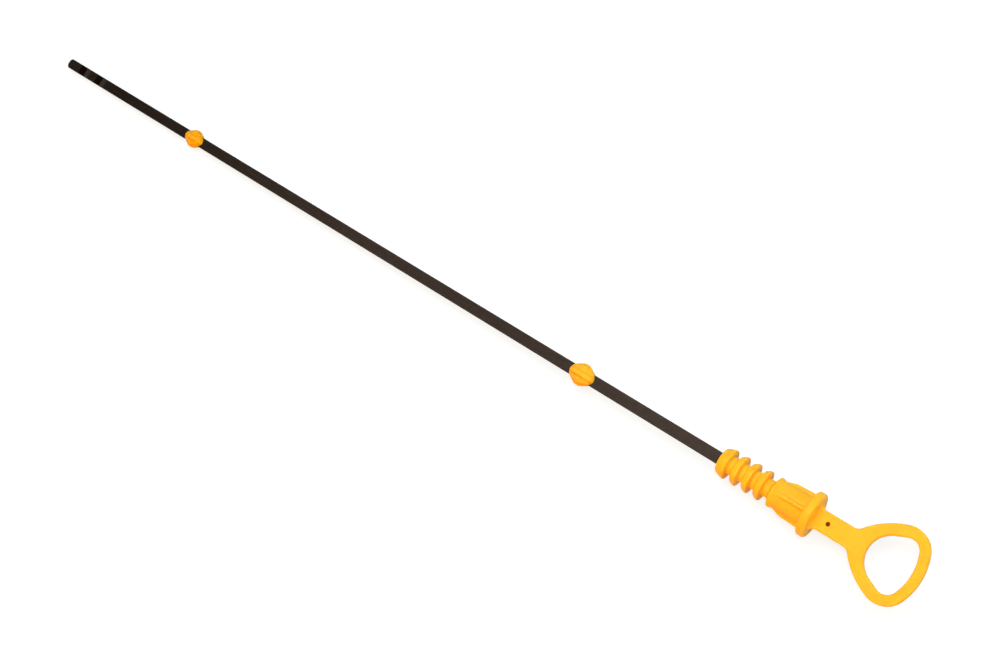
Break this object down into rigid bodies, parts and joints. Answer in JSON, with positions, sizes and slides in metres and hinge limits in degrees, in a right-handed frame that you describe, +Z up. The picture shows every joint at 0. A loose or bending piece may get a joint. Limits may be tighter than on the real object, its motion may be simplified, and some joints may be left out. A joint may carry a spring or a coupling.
{
  "type": "engine oil dipstick",
  "caption": "Engine oil dipstick: a long flat steel strip with a stamped measuring field, olive shaped guide beads, a ribbed sealing plug with a flange, and a rounded triangular pull ring.",
  "frame": {"origin": "on the strip's axis, at the seat face of the flange that rests on the mouth of the dipstick tube", "axes": "+X along the strip from the tip to the pull ring, +Y across the strip's width, +Z up out of the flat face of the ring and strip; the object lies flat"},
  "size_m": [0.4925, 0.031, 0.0182],
  "materials": {
    "blackened_steel": "blackened spring steel, satin, with fine lengthwise grain",
    "moulded_plastic": "moulded nylon in warm yellow, softly satin"
  },
  "bodies": {
    "root": {"steel_blade": "blackened_steel", "tip_guide_bead": "moulded_plastic", "middle_guide_bead": "moulded_plastic", "handle": "moulded_plastic"}
  },
  "joints": []
}
